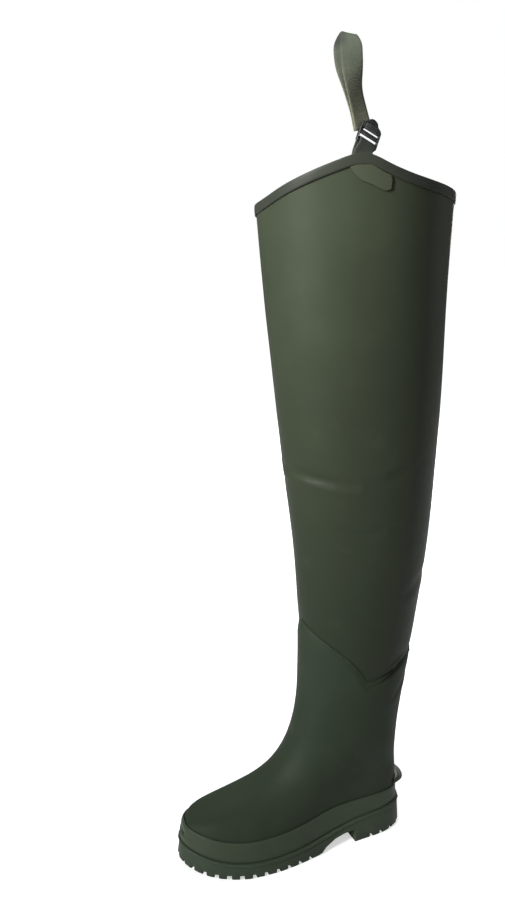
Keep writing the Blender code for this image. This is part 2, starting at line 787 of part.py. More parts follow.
class StrapFrame:
    """Directions at the collar's peak: along the rim towards the heel, outward, and up."""

    def __init__(self, swing=0.0):
        self.base = leg_point(PEAK_TURN, collar_rim(PEAK_TURN))
        out = leg_outward(PEAK_TURN, self.base.z)
        along = Vector((-out.y, out.x, 0.0))
        self.out = out * math.cos(swing) + along * math.sin(swing)
        self.along = along * math.cos(swing) - out * math.sin(swing)

    def at(self, along, out, up):
        """World point from distances in millimetres."""
        return self.base + self.along * along * MM + self.out * out * MM + Vector((0, 0, up * MM))


class BuckleFrame(StrapFrame):
    """Directions of the buckle, which hangs over the rim, swung and leaning towards the heel."""

    def __init__(self):
        super().__init__()
        self.base = self.at(*BUCKLE_SEAT)
        swung = StrapFrame(BUCKLE_SWING)
        self.out, self.along = swung.out, swung.along
        self.across = self.along * math.cos(BUCKLE_LEAN) - Vector((0, 0, math.sin(BUCKLE_LEAN)))
        self.rise = self.along * math.sin(BUCKLE_LEAN) + Vector((0, 0, math.cos(BUCKLE_LEAN)))

    def plate(self, across, up, out):
        """World point in the leaning plate's own plane, from distances in millimetres."""
        return self.base + (self.across * across + self.rise * up + self.out * out) * MM


def build_buckle(collection, cutter_collection, material):
    """Ladder-lock: a plate with two slots, a grip bar and a rounded lifting tab."""
    frame = BuckleFrame()
    side, half_thick = BUCKLE_HALF_WIDTH, BUCKLE_HALF_THICKNESS
    shoulder, top, inner = BUCKLE_SHOULDER, BUCKLE_TOP, side - BUCKLE_CORNER
    tab_half, tab_rise, tab_foot = BUCKLE_TAB
    tab = [math.radians(angle) for angle in (10, 40, 65, 90, 115, 140, 170)]
    outline = [(-side, 0.0), (side, 0.0), (side, shoulder), (inner, top)]
    outline += [(tab_half * math.cos(a), tab_foot + tab_rise * math.sin(a)) for a in tab]
    outline += [(-inner, top), (-side, shoulder)]
    ends = [[frame.plate(x, y, out) for x, y in outline] for out in (half_thick, -half_thick)]
    buckle = new_object("ladder_buckle", prism_mesh("ladder_buckle", [ends]), collection, material)

    half, reach_out = BUCKLE_SLOT_HALF_WIDTH, 2 * half_thick
    prisms = []
    for low, high in BUCKLE_SLOTS:
        corners = [(-half, low), (half, low), (half, high), (-half, high)]
        prisms.append([[frame.plate(x, y, out) for x, y in corners] for out in (reach_out, -reach_out)])
    slots = new_object("slot_cutter", prism_mesh("slot_cutter", prisms), cutter_collection)
    slots.hide_render = True
    slots.display_type = "WIRE"
    cut = buckle.modifiers.new("Slots", "BOOLEAN")
    cut.operation = "DIFFERENCE"
    cut.object = slots
    return buckle


def build_hanger(collection, material):
    """Webbing sewn inside the collar, up round the buckle's lower bar and down again."""
    frame, buckle = StrapFrame(), BuckleFrame()
    inner_out = HANGER_OUT - HANGER_LAYER_GAP
    inner = [(frame.at(HANGER_ALONG, inner_out, up), frame.along) for up in HANGER_HEIGHTS]
    outer = [(frame.at(HANGER_ALONG, HANGER_OUT, up), frame.along) for up in HANGER_HEIGHTS[::-1]]
    bar, steps = BUCKLE_BAR_MIDDLE, 7
    bend = [(buckle.plate(0, bar - 3.0, -BAR_BEND), buckle.across)]
    for i in range(steps):
        angle = math.pi * (1 - i / (steps - 1))
        middle = buckle.plate(0, bar + BAR_BEND * math.sin(angle), BAR_BEND * math.cos(angle))
        bend.append((middle, buckle.across))
    bend.append((buckle.plate(0, bar - 3.0, BAR_BEND), buckle.across))
    return webbing_ribbon("hanger_tab", inner + bend + outer, collection, material)


def build_belt_strap(collection, material):
    """Standing loop of webbing that a belt passes through, from behind the buckle's top bar."""
    frame = BuckleFrame()
    low, high = STRAP_SECTIONS[0][0], STRAP_SECTIONS[-1][0]
    heights = [low + (high - low) * row / STRAP_ROWS for row in range(STRAP_ROWS + 1)]
    route = [(up, -1) for up in heights] + [(up, 1) for up in reversed(heights)]
    places, leans = [], []
    for up, layer in route:
        along, middle, half_gap, swing, tilt = (
            smooth_through(STRAP_SECTIONS, up, column) for column in (1, 2, 3, 4, 5)
        )
        places.append(frame.at(along, middle + layer * half_gap, up))
        leans.append((math.radians(swing), math.radians(tilt)))
    stations = []
    for i, (middle, (swing, tilt)) in enumerate(zip(places, leans)):
        before, after = places[max(i - 1, 0)], places[min(i + 1, len(places) - 1)]
        tangent = (after - before).normalized()
        level = frame.along * math.cos(swing) - frame.out * math.sin(swing)
        across = level * math.cos(tilt) - Vector((0, 0, math.sin(tilt)))
        below_top = min(1.0, (high - route[i][0]) / 20)
        stations.append((middle, across - tangent * across.dot(tangent) * below_top))
    return webbing_ribbon("belt_strap", stations, collection, material)


def main():
    """Build the wader."""
    for piece in list(bpy.data.objects):
        bpy.data.objects.remove(piece, do_unlink=True)
    wader = bpy.data.collections.new("hip_wader")
    cutters = bpy.data.collections.new("cutters")
    for collection in (wader, cutters):
        bpy.context.scene.collection.children.link(collection)

    rubber = make_material("olive_rubber", OLIVE_RUBBER)
    sole_rubber = make_material("sole_rubber", SOLE_RUBBER)
    coating = make_material("leg_coating", LEG_COATING)
    binding_rubber = make_material("binding_rubber", BINDING_RUBBER)
    webbing = make_material("olive_webbing", OLIVE_WEBBING)
    nylon = make_material("black_nylon", BLACK_NYLON)
    felt = make_material("grey_felt", GREY_FELT)

    build_outsole(wader, build_tread_cutters(cutters), sole_rubber)
    build_upper(wader, rubber)
    build_foxing(wader, sole_rubber)
    build_kick_spur(wader, sole_rubber)
    build_insole(wader, felt)
    build_leg(wader, coating)
    build_back_seam(wader, rubber)
    build_binding(wader, binding_rubber)
    build_patch("outer_patch", *OUTER_PATCH, wader, binding_rubber)
    build_patch("inner_patch", *INNER_PATCH, wader, binding_rubber)
    build_hanger(wader, webbing)
    build_buckle(wader, cutters, nylon)
    build_belt_strap(wader, webbing)


main()
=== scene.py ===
"""Looks of the hip wader: smooth rubber forms with their creases, webbing, buckle and light.

Frame: metres, +Z up, toe towards -Y, outer side of the foot towards +X, origin on the floor
under the middle of the heel. A turn runs round the leg: 0 at the heel, a quarter turn on the
outer side, half a turn at the toe.
"""
import logging
import math
from dataclasses import dataclass
from enum import Enum
from typing import Protocol

import bmesh
import bpy
from mathutils import Matrix, Vector, noise

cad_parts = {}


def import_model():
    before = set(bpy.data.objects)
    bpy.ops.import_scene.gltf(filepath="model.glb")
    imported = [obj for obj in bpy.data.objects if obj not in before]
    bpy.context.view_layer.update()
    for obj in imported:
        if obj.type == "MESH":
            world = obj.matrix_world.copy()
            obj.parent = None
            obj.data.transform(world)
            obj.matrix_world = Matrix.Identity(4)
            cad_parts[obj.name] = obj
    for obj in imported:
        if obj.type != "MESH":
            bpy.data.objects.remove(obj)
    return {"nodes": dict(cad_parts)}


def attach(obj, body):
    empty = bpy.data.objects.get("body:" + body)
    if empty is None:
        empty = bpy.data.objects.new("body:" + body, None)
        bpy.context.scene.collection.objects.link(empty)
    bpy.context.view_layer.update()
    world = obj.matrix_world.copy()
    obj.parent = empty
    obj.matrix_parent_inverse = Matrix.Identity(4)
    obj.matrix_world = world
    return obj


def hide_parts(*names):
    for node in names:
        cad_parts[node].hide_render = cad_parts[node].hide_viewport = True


Colour = tuple[float, float, float, float]
Place = tuple[float, float, float]

MM = 0.001
FULL_TURN = 360.0
HALF_TURN = 180.0
SECTOR_DEGREES = 3.0
MERGE_DISTANCE = 0.02 * MM
FLAT_DEGREES = 1.0
QUAD_FACE_DEGREES = 30.0
QUAD_SHAPE_DEGREES = 80.0
LEG_MIDDLE_Y = -0.05
WHITE: Colour = (1.0, 1.0, 1.0, 1.0)
log = logging.getLogger("hip_wader")


class Smoothing(Enum):
    """How many times a form is subdivided."""

    FINE = 2
    FINEST = 3


@dataclass(frozen=True)
class Grain:
    """A noise: scale in turns per metre, detail, and the values that count as none and full."""

    scale: float
    detail: float
    none: float = 0.0
    full: float = 1.0


CLOUD = Grain(7.0, 3.0)
MOTTLE = Grain(60.0, 5.0)
BLOTCH = Grain(16.0, 4.0, 0.38, 0.66)
RUB = Grain(34.0, 6.0, 0.64, 0.82)
RIPPLE = Grain(22.0, 2.0)
RUBBER_GRAIN = Grain(1400.0, 3.0)
CLOTH = Grain(420.0, 1.0)
WEBBING_WEAR = Grain(90.0, 4.0)
NYLON_WEAR = Grain(240.0, 4.0, 0.45, 0.75)
NYLON_GRAIN = Grain(2600.0, 2.0)
FELT_FIBRE = Grain(700.0, 6.0)


class Socket:
    """A shader value that takes part in Python arithmetic."""

    def __init__(self, tree: "Tree", link: bpy.types.NodeSocket) -> None:
        """Hold a node tree and one of its output sockets."""
        self.tree = tree
        self.link = link

    def _math(self, operation: str, first: object, second: object) -> "Socket":
        """Add a Math node and return its result."""
        return self.tree.add("ShaderNodeMath", {"operation": operation}, {0: first, 1: second})

    def __add__(self, other: object) -> "Socket":
        """Return the sum."""
        return self._math("ADD", self, other)

    def __radd__(self, other: object) -> "Socket":
        """Return the sum where the other value stands first."""
        return self._math("ADD", other, self)

    def __sub__(self, other: object) -> "Socket":
        """Return the difference."""
        return self._math("SUBTRACT", self, other)

    def __mul__(self, other: object) -> "Socket":
        """Return the product."""
        return self._math("MULTIPLY", self, other)


class Tree:
    """A material's node tree with its Principled shader."""

    def __init__(self, name: str) -> None:
        """Make a material of a name.

        Args:
            name: The material's name.
        """
        self.material = bpy.data.materials.new(name)
        self.material.use_nodes = True
        self.nodes = self.material.node_tree.nodes
        self.links = self.material.node_tree.links
        self.shader = self.nodes["Principled BSDF"]

    def plug(self, socket: bpy.types.NodeSocket, value: object) -> None:
        """Link a Socket to an input, or set the input's own value.

        Args:
            socket: The input.
            value: A Socket, a number, or a tuple.
        """
        if isinstance(value, Socket):
            self.links.new(value.link, socket)
        else:
            socket.default_value = value

    def give(self, name: str, value: object) -> None:
        """Give one of the Principled shader's inputs a Socket or a value of its own."""
        self.plug(self.shader.inputs[name], value)

    def add(self, kind: str, settings: dict, inputs: dict, output: object = 0) -> Socket:
        """Add a node.

        Args:
            kind: The node's type.
            settings: Properties that are set first.
            inputs: Values or Sockets by input name or number.
            output: Name or number of the output to return.

        Returns:
            The output as a Socket.
        """
        node = self.nodes.new(kind)
        for name, value in settings.items():
            setattr(node, name, value)
        for name, value in inputs.items():
            self.plug(node.inputs[name], value)
        return Socket(self, node.outputs[output])

    def object_place(self) -> Socket:
        """Return the place on the object, which is the part's own frame."""
        return self.add("ShaderNodeTexCoord", {}, {}, "Object")

    def along(self, vector: Socket, axis: str) -> Socket:
        """Return one of a vector's parts, X, Y or Z."""
        return self.add("ShaderNodeSeparateXYZ", {}, {"Vector": vector}, axis)

    def mix(self, share: object, first: object, second: object) -> Socket:
        """Mix two colours by a share.

        Args:
            share: 0 for the first, 1 for the second.
            first: Colour or Socket.
            second: Colour or Socket.

        Returns:
            The mixed colour.
        """
        settings = {"data_type": "RGBA"}
        return self.add("ShaderNodeMix", settings, {0: share, 6: first, 7: second}, 2)

    def noise(self, vector: Socket, grain: Grain) -> Socket:
        """Noise value about 0.5 of a grain's scale and detail."""
        inputs = {"Vector": vector, "Scale": grain.scale, "Detail": grain.detail}
        return self.add("ShaderNodeTexNoise", {}, inputs)

    def ramp(self, value: Socket, low: float, high: float) -> Socket:
        """Value from 0 at low to 1 at high, held at both ends."""
        inputs = {"Value": value, "From Min": low, "From Max": high}
        return self.add("ShaderNodeMapRange", {"clamp": True}, inputs)

    def spots(self, vector: Socket, grain: Grain) -> Socket:
        """Spots of 1 on 0 where a grain's noise passes from none to full."""
        return self.ramp(self.noise(vector, grain), grain.none, grain.full)

    def bands(self, vector: Socket, direction: str, scale: float) -> Socket:
        """Return soft bands that follow each other in a direction, X or Y."""
        settings = {"wave_type": "BANDS", "bands_direction": direction}
        return self.add("ShaderNodeTexWave", settings, {"Vector": vector, "Scale": scale}, "Fac")

    def bump(self, height: Socket, strength: float, distance: float) -> None:
        """Give the shader's surface a relief.

        Args:
            height: The relief's height.
            strength: Share of the relief that shows.
            distance: Metres for a height of 1.
        """
        inputs = {"Height": height, "Strength": strength, "Distance": distance}
        self.give("Normal", self.add("ShaderNodeBump", {}, inputs))


class Finish(Protocol):
    """A material with the name of a record slot, which this script does not read."""

    slot: str

    def build(self) -> bpy.types.Material:
        """Make the material."""


@dataclass(frozen=True)
class RubberFinish:
    """Matte rubber with a fine grain, cloudy and blotchy tone and faint marks of handling.

    Where a start height is set, painted shade darkens it downwards from that height to the height
    of full shade.
    """

    name: str
    slot: str
    light: Colour
    dark: Colour
    roughness: float = 0.5
    gloss: float = 0.11
    cloth_print: bool = False
    # Painted shade towards the floor: its full height, its start height, its colour and its
    # share.
    painted_shade_full_height: float = 0.0
    painted_shade_start_height: float = 0.0
    painted_shade_colour: Colour = (0.0128, 0.0178, 0.0108, 1.0)
    painted_shade_strength: float = 0.75
    cloud_share: float = 0.8
    cloud_none: float = 0.3
    cloud_full: float = 0.7
    blotch_share: float = 0.35
    rub_share: float = 0.22
    rub_gain: float = 1.4
    rub_lift: float = 0.008
    rub_roughness: float = 0.08
    mottle_roughness: float = 0.14
    mottle_relief: float = 5.0
    ripple_relief: float = 10.0
    relief_strength: float = 0.5
    relief_height: float = 0.07 * MM

    def build(self) -> bpy.types.Material:
        """Make the material.

        Returns:
            The material.
        """
        tree = Tree(self.name)
        place = tree.object_place()
        mottle = tree.noise(place, MOTTLE)
        rub = tree.spots(place, RUB)
        dusty = tuple(
            min(1.0, channel * self.rub_gain + self.rub_lift) for channel in self.light[:3]
        ) + (1.0,)
        colour = tree.mix(rub * self.rub_share, self.colour(tree, place, mottle), dusty)
        tree.give("Base Color", colour)
        roughness = self.roughness + (mottle - 0.5) * self.mottle_roughness
        tree.give("Roughness", roughness + rub * self.rub_roughness)
        relief = tree.noise(place, RUBBER_GRAIN) + mottle * self.mottle_relief
        relief = relief + tree.noise(place, RIPPLE) * self.ripple_relief
        if self.cloth_print:
            relief = relief + tree.noise(place, CLOTH)
        tree.bump(relief, self.relief_strength, self.relief_height)
        tree.give("Specular IOR Level", self.gloss)
        return tree.material

    def colour(self, tree: Tree, place: Socket, mottle: Socket) -> Socket:
        """Cloudy and blotchy colour, with painted shade that darkens it below.

        Args:
            tree: The material's tree.
            place: The place on the object.
            mottle: The fine noise that breaks up the clouds.

        Returns:
            The colour.
        """
        cloud = tree.noise(place, CLOUD) * self.cloud_share + mottle * (1.0 - self.cloud_share)
        share = tree.ramp(cloud, self.cloud_none, self.cloud_full)
        colour = tree.mix(share, self.dark, self.light)
        colour = tree.mix(tree.spots(place, BLOTCH) * self.blotch_share, colour, self.dark)
        if self.painted_shade_start_height:
            # Painted shade: darker towards the floor, where less light reaches.
            below = tree.ramp(tree.along(place, "Z"), self.painted_shade_start_height, self.painted_shade_full_height)
            colour = tree.mix(below * self.painted_shade_strength, colour, self.painted_shade_colour)
        return colour


@dataclass(frozen=True)
class WebbingFinish:
    """Woven webbing on a UV map in metres: ribs up the height, yarns across them, worn spots.

    Painted shade darkens it towards the top of the belt loop, and a painted shadow, darkest on
    the toe side, lies at its fold there.
    """

    name: str = "olive_webbing_finish"
    slot: str = "olive_webbing"
    light: Colour = (0.150, 0.150, 0.102, 1.0)
    dark: Colour = (0.084, 0.086, 0.058, 1.0)
    # Colour of the painted shade at the loop's top.
    shade: Colour = (0.026, 0.034, 0.021, 1.0)
    # Colour of the painted shadow inside the loop at its fold.
    fold: Colour = (0.006, 0.008, 0.006, 1.0)
    rib_scale: float = 190.0
    rib_share: float = 0.6
    yarn_scale: float = 260.0
    weave_share: float = 0.5
    weave_none: float = 0.25
    weave_full: float = 0.72
    shade_heights: tuple[float, float] = (0.898, 0.955)
    shade_share: float = 0.92
    painted_shadow_heights: tuple[float, float] = (0.965, 0.972)
    painted_shadow_reach: tuple[float, float] = (-0.110, -0.118)
    roughness: float = 0.86
    relief_strength: float = 0.7
    relief_height: float = 0.3 * MM

    def build(self) -> bpy.types.Material:
        """Make the material.

        Returns:
            The material.
        """
        tree = Tree(self.name)
        place = tree.add("ShaderNodeUVMap", {"uv_map": "UVMap"}, {})
        ribs = tree.bands(place, "Y", self.rib_scale)
        yarns = tree.bands(place, "X", self.yarn_scale)
        weave = ribs * self.rib_share + yarns * (1.0 - self.rib_share)
        wear = tree.noise(place, WEBBING_WEAR)
        tone = weave * self.weave_share + wear * (1.0 - self.weave_share)
        share = tree.ramp(tone, self.weave_none, self.weave_full)
        height = tree.along(place, "Y")
        # Painted shade: darker towards the top of the loop, which turns away from the light.
        shaded = tree.ramp(height, *self.shade_heights) * self.shade_share
        # Painted shadow inside the loop at its fold, on the toe side.
        painted_hollow_shadow = tree.ramp(height, *self.painted_shadow_heights)
        painted_hollow_shadow = painted_hollow_shadow * tree.ramp(tree.along(place, "X"), *self.painted_shadow_reach)
        colour = tree.mix(shaded, tree.mix(share, self.dark, self.light), self.shade)
        tree.give("Base Color", tree.mix(painted_hollow_shadow, colour, self.fold))
        tree.give("Roughness", self.roughness)
        tree.bump(weave, self.relief_strength, self.relief_height)
        return tree.material


@dataclass(frozen=True)
class NylonFinish:
    """Moulded black nylon with a fine spark-eroded texture and worn spots."""

    name: str = "black_nylon_finish"
    slot: str = "black_nylon"
    colour: Colour = (0.011, 0.012, 0.012, 1.0)
    worn: Colour = (0.030, 0.032, 0.031, 1.0)
    roughness: float = 0.34
    worn_roughness: float = 0.2
    relief_strength: float = 0.5
    relief_height: float = 0.04 * MM

    def build(self) -> bpy.types.Material:
        """Make the material.

        Returns:
            The material.
        """
        tree = Tree(self.name)
        place = tree.object_place()
        wear = tree.spots(place, NYLON_WEAR)
        tree.give("Base Color", tree.mix(wear, self.colour, self.worn))
        tree.give("Roughness", self.roughness + wear * self.worn_roughness)
        tree.bump(tree.noise(place, NYLON_GRAIN), self.relief_strength, self.relief_height)
        return tree.material


@dataclass(frozen=True)
class FeltFinish:
    """Pressed grey felt."""

    name: str = "grey_felt_finish"
    slot: str = "grey_felt"
    light: Colour = (0.15, 0.15, 0.14, 1.0)
    dark: Colour = (0.06, 0.06, 0.06, 1.0)
    roughness: float = 0.95
    relief_strength: float = 0.8
    relief_height: float = 0.4 * MM

    def build(self) -> bpy.types.Material:
        """Make the material.

        Returns:
            The material.
        """
        tree = Tree(self.name)
        fibre = tree.noise(tree.object_place(), FELT_FIBRE)
        tree.give("Base Color", tree.mix(fibre, self.dark, self.light))
        tree.give("Roughness", self.roughness)
        tree.bump(fibre, self.relief_strength, self.relief_height)
        return tree.material


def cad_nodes() -> dict[str, bpy.types.Object]:
    """Return the CAD nodes by name."""
    return FRAME["nodes"]


def merged_node(node: str) -> bmesh.types.BMesh:
    """Copy of a CAD node's mesh with its points merged, for shaping."""
    builder = bmesh.new()
    builder.from_mesh(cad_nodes()[node].data)
    bmesh.ops.remove_doubles(builder, verts=builder.verts, dist=MERGE_DISTANCE)
    return builder


def flat_node(node: str) -> bmesh.types.BMesh:
    """Copy of a CAD node's mesh with its points merged and its flat faces whole."""
    builder = merged_node(node)
    bmesh.ops.dissolve_limit(
        builder, angle_limit=math.radians(FLAT_DEGREES), verts=builder.verts,
        edges=builder.edges,
    )
    return builder


def mesh_from(builder: bmesh.types.BMesh, name: str) -> bpy.types.Mesh:
    """Turn a builder into a mesh of a name, and free it."""
    mesh = bpy.data.meshes.new(name)
    builder.to_mesh(mesh)
    builder.free()
    return mesh


def round_edges(
    builder: bmesh.types.BMesh, edges: list[bmesh.types.BMEdge], radius: float, segments: int,
) -> None:
    """Bevel some edges of a mesh by a radius, in a number of segments."""
    bmesh.ops.bevel(
        builder, geom=edges, offset=radius, offset_type="OFFSET", segments=segments,
        profile=0.5, affect="EDGES", material=-1, clamp_overlap=True,
    )


@dataclass(frozen=True)
class Crease:
    """A fold in the rubber along a line of places: turn in degrees and height in millimetres.

    The trough sinks by depth over a width, and a ridge stands beside it. Along a line that runs
    with the turn, a positive ridge stands on the upper side and a negative one on the lower.
    The fold starts at start_share of its half wave and fades out at the last place.
    """

    places: tuple[tuple[float, float], ...]
    width: float
    depth: float
    ridge: float
    reach_widths: float = 4.0
    ridge_widths: float = 1.7
    start_share: float = 0.12
    fade_power: float = 0.6

    def shift(self, turn: float, height: float, girth_per_degree: float) -> float:
        """Outward shift in millimetres at a place of the surface.

        Args:
            turn: Turn in degrees.
            height: Height in millimetres.
            girth_per_degree: Millimetres round the leg for a degree of turn.

        Returns:
            The shift, negative in the trough.
        """
        nearest, along, side = math.inf, 0.0, 1.0
        last = len(self.places) - 1
        for i in range(last):
            start, end = self.places[i], self.places[i + 1]
            across = (end[0] - start[0]) * girth_per_degree
            rise = end[1] - start[1]
            gap = ((turn - start[0] + HALF_TURN) % FULL_TURN - HALF_TURN) * girth_per_degree
            lift = height - start[1]
            squared = across * across + rise * rise
            share = max(0.0, min(1.0, (gap * across + lift * rise) / squared))
            off = math.hypot(gap - share * across, lift - share * rise)
            if off < nearest:
                nearest, along = off, (i + share) / last
                side = 1.0 if across * lift - rise * gap > 0 else -1.0
        if nearest > self.reach_widths * self.width:
            return 0.0
        wave = min(1.0, self.start_share + (1.0 - self.start_share) * along)
        fade = math.sin(math.pi * wave) ** self.fade_power
        trough = -self.depth * math.exp(-((nearest / self.width) ** 2))
        ridge_place = math.copysign(self.ridge_widths, self.ridge)
        beside = (side * nearest - ridge_place * self.width) / self.width
        crest = abs(self.ridge) * math.exp(-(beside ** 2))
        return fade * (trough + crest)


@dataclass
class Form:
    """A smooth form made from a CAD node: merged, turned back to quads, subdivided, folded."""

    node: str
    finish: Finish
    smoothing: Smoothing = Smoothing.FINE
    creases: tuple[Crease, ...] = ()
    sharp_degrees: float = 50.0
    edge_hold: float = 0.6
    unevenness: float = 0.0
    level_scale: float = 9.0
    upright_scale: float = 4.0
    feather: float = 0.0
    feather_height: float = 14.0 * MM
    feather_full_turn: float = 100.0
    feather_least: float = 0.2
    outer_spare: float = 0.2
    outer_span: float = 0.6
    smoothed_ahead_of: float | None = None
    smoothed_above: float = 0.0
    smoothed_below: float = 200.0 * MM
    smoothing_passes: int = 5
    cut_widths: float = 3.0
    cut_above: float = 4.0 * MM
    upright_share: float = 0.8
    axis_reach: tuple[tuple[float, float], ...] = ((0.0, 0.0), (1.0, 0.0))
    least_reach: float = 0.01 * MM

    def axis_y(self, height: float) -> float:
        """Place of the leg's middle line along Y at a height, from its named stations."""
        stations = self.axis_reach
        for low, high in zip(stations, stations[1:]):
            if height <= high[0]:
                share = max(0.0, (height - low[0]) / (high[0] - low[0]))
                return low[1] + (high[1] - low[1]) * share
        return stations[-1][1]

    def merged(self) -> bpy.types.Mesh:
        """Copy of the node's mesh with its points merged and its quads restored.

        Returns:
            The mesh.
        """
        builder = merged_node(self.node)
        bmesh.ops.join_triangles(
            builder, faces=builder.faces, cmp_seam=False, cmp_sharp=False, cmp_uvs=False,
            cmp_vcols=False, cmp_materials=False,
            angle_face_threshold=math.radians(QUAD_FACE_DEGREES),
            angle_shape_threshold=math.radians(QUAD_SHAPE_DEGREES),
        )
        hold = builder.edges.layers.float.new("crease_edge")
        for edge in builder.edges:
            if edge.is_manifold and edge.calc_face_angle(0.0) > math.radians(self.sharp_degrees):
                edge[hold] = self.edge_hold
        if self.smoothed_ahead_of is not None:
            soft = [
                vertex for vertex in builder.verts
                if vertex.co.y < self.smoothed_ahead_of
                and self.smoothed_above < vertex.co.z < self.smoothed_below
            ]
            for _ in range(self.smoothing_passes):
                bmesh.ops.smooth_vert(
                    builder, verts=soft, factor=0.5,
                    use_axis_x=True, use_axis_y=True, use_axis_z=True,
                )
        return mesh_from(builder, f"{self.node}_form")

    def build(self) -> bpy.types.Object:
        """Make the piece and let it stand for its node.

        Returns:
            The finished piece.
        """
        piece = bpy.data.objects.new(f"{self.node}_form", self.merged())
        bpy.context.scene.collection.objects.link(piece)
        smooth = piece.modifiers.new("Smooth", "SUBSURF")
        smooth.levels = self.smoothing.value
        smooth.render_levels = self.smoothing.value
        evaluated = piece.evaluated_get(bpy.context.evaluated_depsgraph_get())
        mesh = bpy.data.meshes.new_from_object(evaluated)
        piece.modifiers.clear()
        piece.data = mesh
        self.thin_the_rim(mesh)
        self.refine(mesh)
        self.fold(mesh)
        mesh.shade_smooth()
        mesh.materials.clear()
        mesh.materials.append(self.finish.build())
        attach(piece, "root")
        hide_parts(self.node)
        log.info("%s: %d faces", piece.name, len(mesh.polygons))
        return piece

    def refine(self, mesh: bpy.types.Mesh) -> None:
        """Cut the upright edges near the creases, so that the folds have points enough.

        Args:
            mesh: The mesh to cut.
        """
        zones = [
            (min(place[1] for place in crease.places) - self.cut_widths * crease.width,
             max(place[1] for place in crease.places) + self.cut_widths * crease.width)
            for crease in self.creases
        ]
        if not zones:
            return
        builder = bmesh.new()
        builder.from_mesh(mesh)
        upright = []
        for edge in builder.edges:
            start, end = edge.verts[0].co, edge.verts[1].co
            rise = abs(end.z - start.z)
            middle = (start.z + end.z) / 2 / MM
            if rise < self.cut_above or rise < self.upright_share * edge.calc_length():
                continue
            if any(low < middle < high for low, high in zones):
                upright.append(edge)
        bmesh.ops.subdivide_edges(builder, edges=upright, cuts=2, use_grid_fill=True)
        builder.to_mesh(mesh)
        builder.free()

    def thin_the_rim(self, mesh: bpy.types.Mesh) -> None:
        """Draw the outer wall in towards the top line, so that the rim fades into the leg.

        It fades fully past feather_full_turn, towards the toe, and stays crisp at the heel.

        Args:
            mesh: The mesh to shape.
        """
        if not self.feather:
            return
        tops: dict[int, float] = {}
        for vertex in mesh.vertices:
            sector = int(self.turn_of(vertex.co) // SECTOR_DEGREES)
            tops[sector] = max(tops.get(sector, 0.0), vertex.co.z)
        for vertex in mesh.vertices:
            turn = self.turn_of(vertex.co)
            below = self.rim_at(turn, tops) - vertex.co.z
            if below > self.feather_height:
                continue
            out = self.outward(vertex.co).normalized()
            facing = vertex.normal.dot(out)
            outer = max(0.0, min(1.0, (facing + self.outer_spare) / self.outer_span))
            share = 1.0 - below / self.feather_height
            from_heel = min(turn, FULL_TURN - turn)
            faded = max(self.feather_least, min(1.0, from_heel / self.feather_full_turn))
            vertex.co -= out * self.feather * outer * faded * share * share * (3.0 - 2.0 * share)

    def rim_at(self, turn: float, tops: dict[int, float]) -> float:
        """Height of the top line at a turn, between the tops of the sectors beside it."""
        place = turn / SECTOR_DEGREES - 0.5
        low = math.floor(place)
        sectors = int(FULL_TURN / SECTOR_DEGREES)
        first = tops.get(low % sectors, 0.0)
        second = tops.get((low + 1) % sectors, first)
        return first + (second - first) * (place - low) if first else second

    def turn_of(self, point: Vector) -> float:
        """Turn in degrees of a point round the leg's middle line."""
        return math.degrees(math.atan2(point.x, point.y - self.axis_y(point.z))) % FULL_TURN

    def outward(self, point: Vector) -> Vector:
        """Level vector from the leg's middle line to a point."""
        return Vector((point.x, point.y - self.axis_y(point.z), 0.0))

    def fold(self, mesh: bpy.types.Mesh) -> None:
        """Move the points of both walls alike, level and outward, by creases and unevenness.

        Args:
            mesh: The mesh to shape.
        """
        if not self.creases and not self.unevenness:
            return
        for vertex in mesh.vertices:
            point = vertex.co
            out = self.outward(point)
            reach = out.length
            if reach < self.least_reach:
                continue
            turn = self.turn_of(point)
            girth = reach / MM * math.pi / HALF_TURN
            shift = sum(c.shift(turn, point.z / MM, girth) for c in self.creases)
            if self.unevenness:
                level, upright = self.level_scale, self.upright_scale
                around = Vector((point.x * level, point.y * level, point.z * upright))
                shift += self.unevenness * noise.noise(around)
            vertex.co = point + out.normalized() * shift * MM


@dataclass
class Outsole:
    """Sole, heel and lugs: the CAD node's own form with softened edges."""

    node: str = "outsole"
    edge_radius: float = 0.35 * MM
    rounded_degrees: float = 50.0
    shaded_degrees: float = 38.0
    finish: RubberFinish = RubberFinish(
        "sole_rubber_finish", "sole_rubber", (0.038, 0.050, 0.033, 1.0),
        (0.028, 0.039, 0.025, 1.0), roughness=0.58,
    )

    def build(self) -> bpy.types.Object:
        """Make the piece and let it stand for its node.

        Returns:
            The finished piece.
        """
        builder = flat_node(self.node)
        edges = [
            edge for edge in builder.edges
            if edge.is_manifold
            and edge.calc_face_angle(0.0) > math.radians(self.rounded_degrees)
            and edge.calc_length() > 2 * self.edge_radius
        ]
        round_edges(builder, edges, self.edge_radius, segments=2)
        mesh = mesh_from(builder, f"{self.node}_form")
        mesh.shade_smooth()
        mesh.set_sharp_from_angle(angle=math.radians(self.shaded_degrees))
        mesh.materials.append(self.finish.build())
        piece = bpy.data.objects.new(mesh.name, mesh)
        bpy.context.scene.collection.objects.link(piece)
        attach(piece, "root")
        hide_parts(self.node)
        log.info("%s: %d faces", piece.name, len(mesh.polygons))
        return piece


